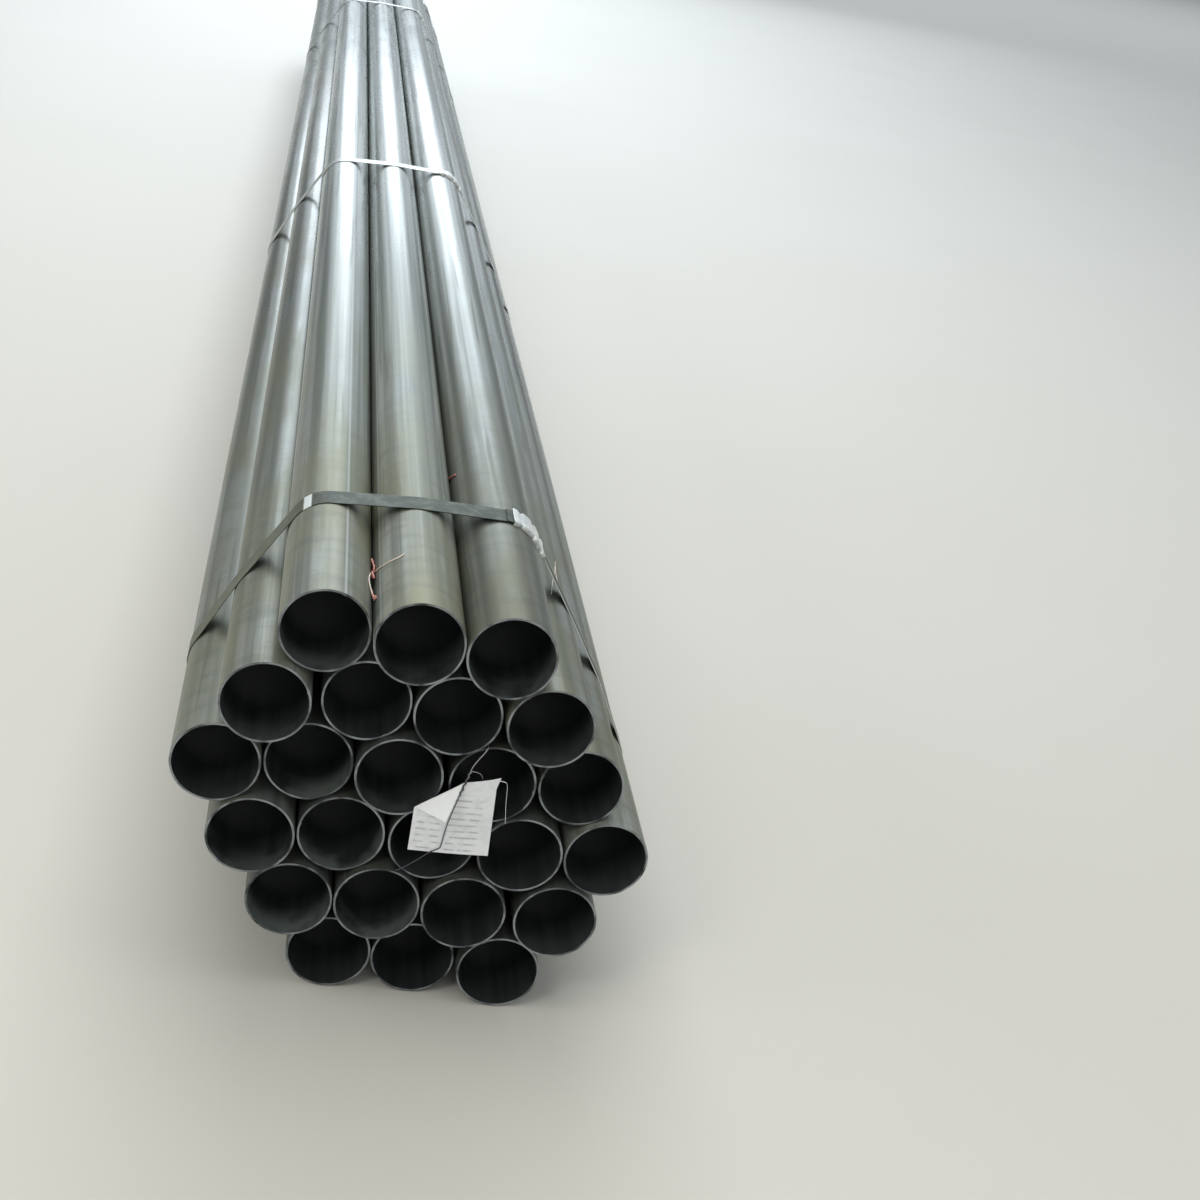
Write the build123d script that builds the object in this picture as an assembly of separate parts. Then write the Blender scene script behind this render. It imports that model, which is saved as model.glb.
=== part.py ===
from build123d import *
from collections import namedtuple
from math import acos, atan2, cos, degrees, dist, radians, sin, sqrt, tan
import os

# Bundle of 24 welded black steel pipes in six rows, drawn together by four steel straps.
# Each strap goes once round the bundle and its two ends lie on each other in a crimped seal.
# A paper label hangs before the near ends, held by a tie wire that is hooked between the pipes.
# Millimetres. X runs across the bundle, Y along the pipes from the near ends, and Z up.
# The origin is on the floor, under the middle of the whole bundle.

# Pipes
pipe_od = 88.3
pipe_wall = 2.3
pipe_length = 6000.0

# What two pieces that rest on each other keep between their faces
seat_gap = 0.3

# Rows, from the top. half_steps: how far the row starts to the right of the widest row, in half
# pitches. shift: its sideways slip. gaps: the loose space from each pipe to the next.
# slides: how far each pipe's near end lies behind the nominal end plane.
Row = namedtuple("Row", "half_steps shift gaps slides")
rows = (
    Row(2, -2.0, (0.5, 0.0), (-1.0, -19.0, -23.0)),
    Row(1, -5.5, (8.0, 1.0, 3.0), (-11.0, 5.0, -2.0, -10.0)),
    Row(0, -2.0, (1.0, 0.5, 5.5, 3.0), (2.0, 11.0, -2.0, 1.0, 9.0)),
    Row(1, -5.5, (1.0, 3.0, 2.5, 2.0), (-2.0, 7.0, 4.0, -2.0, 2.0)),
    Row(2, -4.0, (0.5, 1.0, 9.0), (2.0, -1.0, -5.0, -3.0)),
    Row(3, 0.0, (0.0, 2.0), (18.0, 18.0, 3.0)),
)

# Straps: where each one's middle lies behind the near ends, the last as far from the far ends
# as the first from the near ones
strap_width = 32.0
strap_thickness = 0.9
first_strap = 220.0
second_strap = 1920.0
third_strap = 4400.0
strap_places = (first_strap, second_strap, third_strap, pipe_length - first_strap)

# Seals: a folded sleeve round both ends of the strap, its edges crimped in pairs to lock them
seal_length = 52.0
seal_thickness = 0.9
seal_clearance = 0.15
seal_lip = 10.0
layer_gap = 0.3
inner_end_out = 10.0
outer_end_out = 8.0
notch_pairs = 3
notch_mouth = 8.2
notch_floor = 3.4
notch_depth = 2.6

# How far each seal reaches below the line where its strap leaves the top right pipe
seal_drops = (18.0, 8.0, 30.0, 15.0)

# Label: a sheet of paper whose upper left corner is folded towards the viewer
label_width = 82.0
label_height = 92.0
label_thickness = 0.3
label_left_of_carrier = 24.0
label_below_carrier = 5.5
fold_height = 50.0
fold_reach = 46.0
fold_top = 86.0
flap_along = 25.7
flap_across = 33.2
flap_opening = 60.0

# Tie wire: its ends lie in the hollows between the pipes, on the pipes named below
wire_diameter = 1.2
wire_sides = 6
wire_grip = 40.0
wire_top_angle = 104.0
wire_foot_angle = 73.0

# Where the wire crosses the label, right of and above the label's lower left corner
wire_crossings = (
    (51.5, 106.0),
    (46.0, 80.0),
    (32.5, 24.0),
    (31.0, 9.0),
    (20.0, -1.0),
)
wire_bend = 3.0
wire_sweep = 20.0

# Pipes that other pieces take their place from
label_carrier = "4c"
label_rest = ("3c", "4d")
wire_top_pipe = "3d"
wire_foot_pipe = "5b"

pitch = pipe_od + seat_gap
wrap_radius = pipe_od / 2 + seat_gap


# Layout of the pipes

def row_name(index, place):
    return f"{index + 1}{'abcdefghijkl'[place]}"


def row_places(row):
    """The x of each pipe's centre in a row."""
    x = row.half_steps * pitch / 2 + row.shift
    places = [x]
    for gap in row.gaps:
        x += pitch + gap
        places.append(x)
    return places


def resting_height(x, below):
    """The z of a pipe's centre where it comes down on the row below it."""
    return max(z + sqrt(pitch**2 - (x - low_x) ** 2) for low_x, z in below if abs(x - low_x) < pitch)


def stack_pipes():
    """Centre (x, z) and slide of each pipe, from the bottom row up."""
    centres, slides = {}, {}
    below = None
    for index in reversed(range(len(rows))):
        row = rows[index]
        level = []
        for place, x in enumerate(row_places(row)):
            z = resting_height(x, below) if below else strap_thickness + wrap_radius
            name = row_name(index, place)
            centres[name] = (x, z)
            slides[name] = row.slides[place]
            level.append((x, z))
        below = level
    return centres, slides


def make_pipe(centre, slide):
    wall = Circle(pipe_od / 2) - Circle(pipe_od / 2 - pipe_wall)
    section = Plane.XZ * Pos(*centre) * wall
    return Pos(0, slide, 0) * extrude(section, amount=-pipe_length)


# Paths in the plane across the bundle, followed anticlockwise as seen from the near ends.
# A face at an offset from a path lies that much further from the pipes.

def polar(centre, radius, angle):
    return (centre[0] + radius * cos(radians(angle)), centre[1] + radius * sin(radians(angle)))


class Run:
    """Straight stretch: its start, the angle of its outward normal and its length."""

    def __init__(self, start, normal, length):
        self.start = start
        self.normal = normal
        self.length = length

    def part(self, low, high):
        return Run(polar(self.start, low, self.normal + 90), self.normal, high - low)

    def ends(self, offset):
        start = polar(self.start, offset, self.normal)
        return start, polar(start, self.length, self.normal + 90)

    def edge(self, offset):
        return Line(*self.ends(offset))

    def frame(self, distance):
        return polar(self.start, distance, self.normal + 90), self.normal


class Bend:
    """Arc round a pipe: its centre, radius, first angle and turn."""

    def __init__(self, centre, radius, angle, turn):
        self.centre = centre
        self.radius = radius
        self.angle = angle
        self.turn = turn
        self.length = radius * radians(turn)

    def part(self, low, high):
        first = self.angle + degrees(low / self.radius)
        return Bend(self.centre, self.radius, first, degrees((high - low) / self.radius))

    def ends(self, offset):
        radius = self.radius + offset
        return polar(self.centre, radius, self.angle), polar(self.centre, radius, self.angle + self.turn)

    def edge(self, offset):
        return CenterArc(self.centre, self.radius + offset, self.angle, self.turn)

    def frame(self, distance):
        angle = self.angle + degrees(distance / self.radius)
        return polar(self.centre, self.radius, angle), angle


def stretch(path, low, high):
    """The part of a path between two distances along it."""
    pieces = []
    passed = 0.0
    for piece in path:
        start = max(low - passed, 0.0)
        end = min(high - passed, piece.length)
        if end > start:
            pieces.append(piece.part(start, end))
        passed += piece.length
    return pieces


def frame_at(path, distance):
    """The point at a distance along a path, and the angle of the outward normal there."""
    for piece in path[:-1]:
        if distance <= piece.length:
            return piece.frame(distance)
        distance -= piece.length
    return path[-1].frame(distance)


def band(path, low, high, near, far):
    """Solid between two offsets from a path and between two places along the pipes."""
    first = Line(path[0].ends(low)[0], path[0].ends(high)[0])
    last = Line(path[-1].ends(low)[1], path[-1].ends(high)[1])
    sides = [piece.edge(offset) for offset in (low, high) for piece in path]
    section = Plane.XZ * make_face([first, last, *sides])
    return Pos(0, near, 0) * extrude(section, amount=near - far)


# Straps and seals

def outer_ring(centres):
    """Names of the pipes that the straps go round, anticlockwise from the lowest left one."""
    def turns_left(a, b, c):
        (ax, az), (bx, bz), (cx, cz) = centres[a], centres[b], centres[c]
        return (bx - ax) * (cz - az) - (bz - az) * (cx - ax) > 1.0

    def half(names):
        chain = []
        for name in names:
            while len(chain) > 1 and not turns_left(chain[-2], chain[-1], name):
                chain.pop()
            chain.append(name)
        return chain[:-1]

    names = sorted(centres, key=lambda name: centres[name])
    return half(names) + half(names[::-1])


def run_between(first, second):
    """Taut run from one (centre, radius) to the next."""
    (start, start_radius), (end, end_radius) = first, second
    heading = degrees(atan2(end[1] - start[1], end[0] - start[0]))
    normal = heading - degrees(acos((start_radius - end_radius) / dist(start, end)))
    low = polar(start, start_radius, normal)
    return Run(low, normal, dist(low, polar(end, end_radius, normal)))


def strap_path(centres, drop):
    """Inner face of a strap: from its inner end, once round the bundle, to its outer end."""
    ring = outer_ring(centres)
    seal_pipe = row_name(0, len(rows[0].gaps))
    turn = ring.index(seal_pipe)
    ring = ring[turn:] + ring[:turn]
    inner_radius = wrap_radius + seal_thickness + seal_clearance
    outer_radius = inner_radius + strap_thickness + layer_gap
    stops = [(centres[seal_pipe], inner_radius)]
    stops += [(centres[name], wrap_radius) for name in ring[1:]]
    stops += [(centres[seal_pipe], outer_radius)]
    runs = [run_between(first, second) for first, second in zip(stops, stops[1:])]

    tail = drop + inner_end_out
    last = runs[-1]
    leaving = polar(centres[seal_pipe], inner_radius, last.normal)
    path = [Run(polar(leaving, -tail, last.normal + 90), last.normal, tail)]
    normal = last.normal
    for (centre, radius), run in zip(stops, runs):
        path.append(Bend(centre, radius, normal, (run.normal - normal) % 360))
        path.append(run)
        normal = run.normal

    lap = path[:3]
    lap_end = inner_end_out + seal_length + outer_end_out
    for piece in stretch(lap, tail, lap_end):
        if isinstance(piece, Bend):
            path.append(Bend(piece.centre, outer_radius, piece.angle, piece.turn))
        else:
            path.append(Run(piece.ends(strap_thickness + layer_gap)[0], piece.normal, piece.length))
    return path, lap


def notch_cutters(lap, place):
    """Flat-sided cutters that bite into both edges of a seal."""
    cutters = []
    step = seal_length / notch_pairs
    edge = strap_width / 2 + seal_clearance + seal_thickness
    height = 4 * (strap_thickness + seal_thickness) + 2 * layer_gap
    bite = Polyline(
        (-notch_depth, -notch_mouth / 2),
        (0, -notch_mouth / 2),
        (notch_depth, -notch_floor / 2),
        (notch_depth, notch_floor / 2),
        (0, notch_mouth / 2),
        (-notch_depth, notch_mouth / 2),
        close=True,
    )
    for index in range(notch_pairs):
        (x, z), normal = frame_at(lap, inner_end_out + (index + 0.5) * step)
        outward = (cos(radians(normal)), 0, sin(radians(normal)))
        for side in (-1, 1):
            middle = polar((x, z), strap_thickness - height / 2, normal)
            origin = (middle[0], place + side * edge, middle[1])
            plane = Plane(origin=origin, x_dir=(0, -side, 0), z_dir=outward)
            cutters.append(extrude(plane * make_face(bite), amount=height))
    return cutters


def make_strap(path, place):
    return band(path, 0, strap_thickness, place - strap_width / 2, place + strap_width / 2)


def make_seal(lap, place):
    """C-shaped sleeve: a top plate, two side walls and two lips under the inner layer."""
    path = stretch(lap, inner_end_out, inner_end_out + seal_length)
    top = 2 * strap_thickness + layer_gap + seal_clearance
    bottom = -seal_clearance
    half = strap_width / 2 + seal_clearance
    wide = half + seal_thickness
    seal = band(path, top, top + seal_thickness, place - wide, place + wide)
    for near, far, lip_near, lip_far in (
        (place - wide, place - half, place - wide, place - wide + seal_lip),
        (place + half, place + wide, place + wide - seal_lip, place + wide),
    ):
        seal += band(path, bottom - seal_thickness, top + seal_thickness, near, far)
        seal += band(path, bottom - seal_thickness, bottom, lip_near, lip_far)
    return seal - notch_cutters(lap, place)


# Label and tie wire

def label_corner(centres):
    x, z = centres[label_carrier]
    return x - label_left_of_carrier, z - label_below_carrier


def label_front(slides):
    return min(slides[name] for name in label_rest) - seat_gap - label_thickness


def make_label(centres, slides):
    """Sheet with its corner turned over along the fold, and the flap that stands open."""
    x, z = label_corner(centres)
    front = label_front(slides)
    outline = Polyline(
        (x, z),
        (x + label_width, z),
        (x + label_width, z + label_height),
        (x + fold_reach, z + fold_top),
        (x, z + fold_height),
        close=True,
    )
    sheet = Pos(0, front, 0) * extrude(Plane.XZ * make_face(outline), amount=-label_thickness)
    fold = Vector(fold_reach, 0, fold_top - fold_height)
    flat = Plane(origin=(x, front, z + fold_height), x_dir=fold, z_dir=(0, -1, 0))
    opened = flat * Rot(-flap_opening, 0, 0)
    flap = make_face(Polyline((0, 0), (flap_along, -flap_across), (fold.length, 0), close=True))
    return sheet + extrude(opened * flap, amount=-label_thickness)


def wire_route(centres, slides):
    """From the upper hollow, over the label, into the lower hollow."""
    hold = pipe_od / 2 + wire_diameter / 2 + seat_gap
    top = polar(centres[wire_top_pipe], hold, wire_top_angle)
    foot = polar(centres[wire_foot_pipe], hold, wire_foot_angle)
    x, z = label_corner(centres)
    near = label_front(slides) - wire_diameter / 2 - seat_gap
    route = [(top[0], near + wire_grip, top[1]), (top[0], near, top[1])]
    route += [(x + across, near, z + up) for across, up in wire_crossings]
    route += [(foot[0], near, foot[1]), (foot[0], near + wire_grip, foot[1])]
    return route


def wire_radii(route):
    """Tight bends where the wire goes in between the pipes, and wider ones between them."""
    points = [Vector(*point) for point in route]
    radii = []
    for before, here, after in zip(points, points[1:], points[2:]):
        turn = (here - before).get_angle(after - here)
        shorter = min((here - before).length, (after - here).length)
        radii.append(min(wire_sweep, 0.45 * shorter / tan(radians(turn / 2))))
    return [wire_bend, *radii[1:-1], wire_bend]


def make_wire(centres, slides):
    route = wire_route(centres, slides)
    path = FilletPolyline(*route, radius=wire_radii(route))
    section = Plane(origin=path @ 0, z_dir=path % 0) * RegularPolygon(wire_diameter / 2, wire_sides)
    return sweep(section, path=path)


# Assembly

def make_bundle():
    centres, slides = stack_pipes()
    pieces = {}
    for name in sorted(centres):
        pieces[f"pipe_{name}"] = make_pipe(centres[name], slides[name])
    for number, (place, drop) in enumerate(zip(strap_places, seal_drops), start=1):
        path, lap = strap_path(centres, drop)
        pieces[f"strap_{number}"] = make_strap(path, place)
        pieces[f"seal_{number}"] = make_seal(lap, place)
    pieces["label"] = make_label(centres, slides)
    pieces["tie_wire"] = make_wire(centres, slides)
    return pieces


bundle = make_bundle()
box = Compound(list(bundle.values())).bounding_box()
to_origin = Pos(-box.center().X, -box.center().Y, -box.min.Z)
os.makedirs("parts", exist_ok=True)
for name, piece in bundle.items():
    export_step(to_origin * piece, f"parts/{name}.step")
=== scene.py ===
from collections import namedtuple
from math import acos, atan2, ceil, cos, degrees, dist, pi, radians, sin

import bmesh
import bpy
from mathutils import Matrix, Vector


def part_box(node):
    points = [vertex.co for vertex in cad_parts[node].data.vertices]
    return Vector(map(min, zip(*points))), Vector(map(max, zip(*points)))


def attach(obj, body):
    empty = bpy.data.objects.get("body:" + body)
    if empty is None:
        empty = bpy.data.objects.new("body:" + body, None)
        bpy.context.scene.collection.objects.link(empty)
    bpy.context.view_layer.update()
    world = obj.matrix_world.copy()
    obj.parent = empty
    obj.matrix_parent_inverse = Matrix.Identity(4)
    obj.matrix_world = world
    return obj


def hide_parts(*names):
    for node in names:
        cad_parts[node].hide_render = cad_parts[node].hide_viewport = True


bl_info = {
    "name": "Strapped Pipe Bundle",
    "version": (1, 0, 0),
    "blender": (4, 5, 0),
    "location": "View3D > Sidebar > Pipe Bundle",
    "description": "Dresses a bundle of black steel pipes with its straps, seals, label and tie wire",
    "category": "Add Mesh",
}

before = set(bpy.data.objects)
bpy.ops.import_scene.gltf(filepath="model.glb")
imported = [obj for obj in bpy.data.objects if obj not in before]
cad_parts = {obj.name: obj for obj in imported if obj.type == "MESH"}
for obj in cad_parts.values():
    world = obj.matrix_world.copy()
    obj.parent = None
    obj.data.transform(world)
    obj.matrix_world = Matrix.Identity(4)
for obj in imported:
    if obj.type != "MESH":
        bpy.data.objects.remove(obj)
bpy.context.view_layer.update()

MM = 0.001

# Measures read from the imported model

PipePlace = namedtuple("PipePlace", "x z near far radius")


def read_pipe(node):
    low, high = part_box(node)
    return PipePlace((low.x + high.x) / 2, (low.z + high.z) / 2, low.y, high.y, (high.z - low.z) / 2)


PIPES = {node: read_pipe(node) for node in sorted(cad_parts) if node.startswith("pipe_")}
STRAPS = sorted(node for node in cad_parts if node.startswith("strap_"))
SEAL_PIPE = "pipe_1c"
PIPE_RADIUS = PIPES[SEAL_PIPE].radius
PIPE_LENGTH = PIPES[SEAL_PIPE].far - PIPES[SEAL_PIPE].near

# Camera: where the photographer stood, what they aimed at on the floor, and the tilt of the frame

CAMERA_PLACE = (-0.16579, -4.44352, 1.16825)
CAMERA_AIM = (0.36531, -1.93138, 0.0)
CAMERA_TILT = -11.404
CAMERA_LENS = 51.14
SENSOR_WIDTH = 36.0

# How the straps and seals go together, as in the solids

SEAT_GAP = 0.3 * MM
LAYER_GAP = 0.3 * MM
SEAL_CLEARANCE = 0.15 * MM
INNER_END_OUT = 10 * MM
OUTER_END_OUT = 8 * MM
NOTCH_PAIRS = 3


# Sizes and colours that a user would change

def size_value(name, description, default, **limits):
    return bpy.props.FloatProperty(
        name=name, description=description, default=default, subtype="DISTANCE", unit="LENGTH", **limits
    )


def to_linear(hex_colour):
    """Linear red, green, blue and full opacity of an sRGB hex colour."""
    channels = [int(hex_colour[start:start + 2], 16) / 255 for start in (1, 3, 5)]
    return [c / 12.92 if c <= 0.04045 else ((c + 0.055) / 1.055) ** 2.4 for c in channels] + [1.0]


def colour_value(name, description, hex_colour):
    return bpy.props.FloatVectorProperty(
        name=name, description=description, default=to_linear(hex_colour), subtype="COLOR",
        size=4, min=0.0, max=1.0
    )


class BundleSizes(bpy.types.PropertyGroup):
    """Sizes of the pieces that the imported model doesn't give"""

    pipe_wall: size_value("Pipe wall", "Wall thickness of each pipe", 2.3 * MM, min=0.5 * MM)
    rim_round: size_value("Rim round", "How far the saw-cut edges are broken", 0.35 * MM, min=0.0)
    bead_height: size_value("Weld bead", "Height of the weld bead inside each pipe", 0.7 * MM, min=0.0)
    strap_width: size_value("Strap width", "Width of the steel straps", 32 * MM, min=5 * MM)
    strap_thickness: size_value("Strap thickness", "Thickness of the steel straps", 0.9 * MM, min=0.2 * MM)
    seal_length: size_value("Seal length", "Length of each crimped seal", 52 * MM, min=10 * MM)
    seal_thickness: size_value("Seal thickness", "Sheet thickness of the seals", 0.9 * MM, min=0.2 * MM)
    seal_lip: size_value("Seal lip", "Width of the lips folded under the strap", 10 * MM, min=2 * MM)
    notch_depth: size_value("Crimp depth", "How far each crimp bites in from the edge", 2.6 * MM, min=0.0)
    notch_radius: size_value("Crimp radius", "Half the length of each crimp", 4.5 * MM, min=1 * MM)
    paper_thickness: size_value("Paper", "Thickness of the label's paper", 0.16 * MM, min=0.05 * MM)
    wire_diameter: size_value("Tie wire", "Diameter of the tie wire", 1.2 * MM, min=0.3 * MM)


class BundleColours(bpy.types.PropertyGroup):
    """Colours of the finishes"""

    scale: colour_value("Mill scale", "The pipes' dark oxide skin", "#abb0ae")
    scale_dark: colour_value("Mill scale, dark", "Darker patches and streaks of the oxide skin", "#6a706d")
    # The oil film's olive tint is partly a painted reflection of a brown floor, on the pipes and on the
    # first strap's left slope
    oil: colour_value("Oil film", "Olive tint where the rolling oil lies thick", "#878873")
    bore: colour_value("Pipe bore", "Oxide skin inside the pipes", "#2b2e30")
    cut_steel: colour_value("Cut steel", "Bare steel on the sawn ends", "#9da3a8")
    weld: colour_value("Weld line", "Line where each pipe's seam was trimmed", "#c4c9c7")
    strap: colour_value("Strap", "Oxidised strap steel", "#343a31")
    strap_worn: colour_value("Strap, worn", "Strap steel where the oxide is rubbed", "#6b7063")
    # Also used for painted highlights on the straps and the tie wire
    zinc: colour_value("Zinc", "Zinc coat on the seals", "#eef1f0")
    paper: colour_value("Paper", "Printed side of the label's paper", "#f4f5f7")
    paper_back: colour_value("Paper, back", "White back of the paper, on its folded corner", "#ffffff")
    print_ink: colour_value("Print", "Faded print on the label", "#6f717a")
    wire: colour_value("Tie wire", "Annealed wire", "#5a5866")
    twine: colour_value("Twine", "Red plastic twine left on the pipes", "#c25f57")
    twine_frayed: colour_value("Twine, frayed", "Bleached strands of the twine", "#e6dccf")
    floor: colour_value("Floor", "The studio floor", "#d6d2ca")


# Modelling helpers

def start_piece(name):
    """Names the primitive that was just added, with its place and turn moved into its mesh."""
    piece = bpy.context.active_object
    piece.name = name
    piece.data.name = name
    bpy.ops.object.transform_apply(location=True, rotation=True, scale=True)
    return piece


def deselect_all():
    for item in bpy.context.selected_objects:
        item.select_set(False)


def make_active(piece):
    deselect_all()
    piece.select_set(True)
    bpy.context.view_layer.objects.active = piece


def edit(piece, kind="FACE"):
    """Opens a piece for editing with nothing selected and gives its bmesh."""
    make_active(piece)
    bpy.ops.object.mode_set(mode="EDIT")
    bpy.ops.mesh.select_mode(type=kind)
    bpy.ops.mesh.select_all(action="DESELECT")
    return bmesh.from_edit_mesh(piece.data)


def pick(piece, shape, wanted):
    """Selects those of a bmesh's vertices, edges or faces for which wanted is true."""
    for item in shape:
        if wanted(item):
            item.select_set(True)
    bmesh.update_edit_mesh(piece.data)


def close_edit():
    bpy.ops.object.mode_set(mode="OBJECT")


def apply_modifier(piece, kind, **settings):
    modifier = piece.modifiers.new(kind.title(), kind)
    for setting, value in settings.items():
        setattr(modifier, setting, value)
    make_active(piece)
    bpy.ops.object.modifier_apply(modifier=modifier.name)


def smooth(piece, angle):
    make_active(piece)
    bpy.ops.object.shade_smooth_by_angle(angle=radians(angle))


def face_outwards(piece):
    edit(piece)
    bpy.ops.mesh.select_all(action="SELECT")
    bpy.ops.mesh.remove_doubles(threshold=0.001 * MM)
    bpy.ops.mesh.normals_make_consistent(inside=False)
    close_edit()


def note_points(piece, name, values):
    """Keeps one vector for each vertex, for a pattern to follow."""
    attribute = piece.data.attributes.new(name, "FLOAT_VECTOR", "POINT")
    attribute.data.foreach_set("vector", [number for value in values for number in value])


def note_value(piece, name, value):
    """Keeps one number for the whole piece, for a pattern to follow."""
    attribute = piece.data.attributes.new(name, "FLOAT", "POINT")
    attribute.data.foreach_set("value", [value] * len(piece.data.vertices))


def finish_piece(piece, slot, *nodes):
    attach(piece, "root")
    if nodes:
        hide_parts(*nodes)


# Material helpers

def add_node(tree, kind, inputs=None, **settings):
    """Adds a node with its settings. An input is a value, or the socket or node that it is linked to."""
    node = tree.nodes.new(f"ShaderNode{kind}")
    for setting, value in settings.items():
        setattr(node, setting, value)
    for socket, value in (inputs or {}).items():
        if isinstance(value, bpy.types.Node):
            value = next(output for output in value.outputs if output.enabled)
        if isinstance(value, bpy.types.NodeSocket):
            tree.links.new(value, node.inputs[socket])
        else:
            node.inputs[socket].default_value = value
    return node


def lay_colours(tree, colour, *layers):
    """Lays colours over each other. A layer is its colour, how much of it shows at most, and masks: each
    a pattern, the pattern's value where the layer starts and its value where the layer is full."""
    for coat, share, *masks in layers:
        for pattern, start, full in masks:
            share = add_node(tree, "MapRange", {
                "Value": pattern, "From Min": start, "From Max": full, "To Max": share})
        colour = add_node(tree, "Mix", {"Factor": share, "A": colour, "B": coat}, data_type="RGBA")
    return colour


def new_material(finish, colours):
    """A material named after its finish, which adds the patterns and gives the shader's inputs."""
    material = bpy.data.materials.new(finish.__name__)
    material.use_nodes = True
    tree = material.node_tree
    tree.nodes.clear()
    shader = add_node(tree, "BsdfPrincipled", finish(tree, colours))
    add_node(tree, "OutputMaterial", {"Surface": shader})
    return material


# Finishes. The distances in their patterns are in metres

# Between these distances behind a pipe's near end, the dull look of that end fades, and its oil tint and
# painted shade change to their values further back
NEAR_LOOK_FADES = (0.1, 1.3)


def pipe_places(tree):
    """The place of a point on its pipe, as if the pipe lay on the Y axis, and the same place moved on
    for each pipe, so that no two have one pattern."""
    place = add_node(tree, "Attribute", attribute_name="pipe_place").outputs["Vector"]
    seed = add_node(tree, "Attribute", attribute_name="pipe_seed").outputs["Fac"]
    return place, add_node(tree, "VectorMath", {0: place, 1: seed}, operation="ADD")


def mill_scale_steel(tree, colours):
    """Black welded pipe as rolled: a thin dark oxide skin under oil, drawn out along the pipe by the
    rolls, so it looks satin, streaked lengthwise, with one trimmed weld line. Its olive oil tint is
    partly a painted reflection of a brown floor, and some pipes get painted shade."""
    place, own = pipe_places(tree)
    looks = add_node(tree, "SeparateXYZ", {
        "Vector": add_node(tree, "Attribute", attribute_name="pipe_shade_and_oil").outputs["Vector"]}).outputs
    near_painted_shade, far_painted_shade, far_oil_and_reflection = looks["X"], looks["Y"], looks["Z"]
    parts = add_node(tree, "SeparateXYZ", {"Vector": place}).outputs
    fade_start, fade_end = NEAR_LOOK_FADES
    near_end = add_node(tree, "MapRange", {
        "Value": parts["Y"], "From Min": fade_start, "From Max": fade_end, "To Min": 1.0, "To Max": 0.0})

    # Roll marks along the pipe: bands 13 mm wide, lines 3 mm wide, and dark scratches 0.4 m long
    drawn = add_node(tree, "Mapping", {"Vector": own, "Scale": (1.0, 0.006, 1.0)})
    bands = add_node(tree, "TexNoise", {"Vector": drawn, "Scale": 75.0})
    lines = add_node(tree, "TexNoise", {"Vector": drawn, "Scale": 330.0})
    stretched = add_node(tree, "Mapping", {"Vector": own, "Scale": (1.0, 0.02, 1.0)})
    scratches = add_node(tree, "TexNoise", {"Vector": stretched, "Scale": 130.0})
    # Roll marks round the pipe, 18 mm apart and broken
    squeezed = add_node(tree, "Mapping", {"Vector": own, "Scale": (0.3, 1.0, 0.3)})
    rings = add_node(tree, "TexNoise", {"Vector": squeezed, "Scale": 55.0, "Detail": 3.0})
    # Oil lies in 70 mm clouds, thickest near the near end. Its olive tint is partly a painted
    # reflection of a brown floor, and on some side pipes that painted reflection spreads further back
    pooled = add_node(tree, "Mapping", {"Vector": own, "Scale": (1.0, 0.3, 1.0)})
    clouds = add_node(tree, "TexNoise", {"Vector": pooled, "Scale": 14.0, "Detail": 4.0, "Roughness": 0.6})
    oil_and_reflection = add_node(tree, "MapRange", {"Value": near_end, "To Min": far_oil_and_reflection, "To Max": 1.0})
    # Painted shade: some pipes are darker, most of all those inside and under the bundle, where shade falls
    # between the pipes
    dark = add_node(tree, "MapRange", {"Value": near_end, "To Min": far_painted_shade, "To Max": near_painted_shade})
    off_weld = add_node(tree, "Math", {0: parts["X"]}, operation="ABSOLUTE")
    weld_side = (parts["Z"], 0.0, MM)

    colour = lay_colours(
        tree, colours.scale_dark,
        (colours.scale, 1.0, (bands, 0.33, 0.6)),
        (colours.scale_dark, 0.7, (scratches, 0.58, 0.66)),
        (colours.oil, oil_and_reflection, (clouds, 0.3, 0.65)),
        (colours.scale_dark, 0.34, (near_end, 0.3, 1.0), (rings, 0.5, 0.7)),
        # Two darker strips where the steel was hot, and the weld line between them, 2 to 3 mm wide
        (colours.scale_dark, 0.3, weld_side, (off_weld, 6 * MM, 2 * MM)),
        (colours.weld, 0.55, weld_side, (off_weld, 1.7 * MM, 0.9 * MM)),
        (colours.bore, dark),
    )
    far_rough = add_node(tree, "MapRange", {
        "Value": clouds, "From Min": 0.3, "From Max": 0.75, "To Min": 0.24, "To Max": 0.32})
    near_rough = add_node(tree, "MapRange", {
        "Value": lines, "From Min": 0.3, "From Max": 0.7, "To Min": 0.38, "To Max": 0.48})
    rough = add_node(tree, "MapRange", {"Value": near_end, "To Min": far_rough, "To Max": near_rough})
    grain = add_node(tree, "Math", {0: bands, 1: 3.2, 2: rings}, operation="MULTIPLY_ADD")
    strength = add_node(tree, "MapRange", {"Value": near_end, "To Max": 0.12})
    bump = add_node(tree, "Bump", {"Strength": strength, "Distance": 0.1 * MM, "Height": grain})
    return {"Base Color": colour, "Metallic": 0.5, "Roughness": rough, "Normal": bump}


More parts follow.
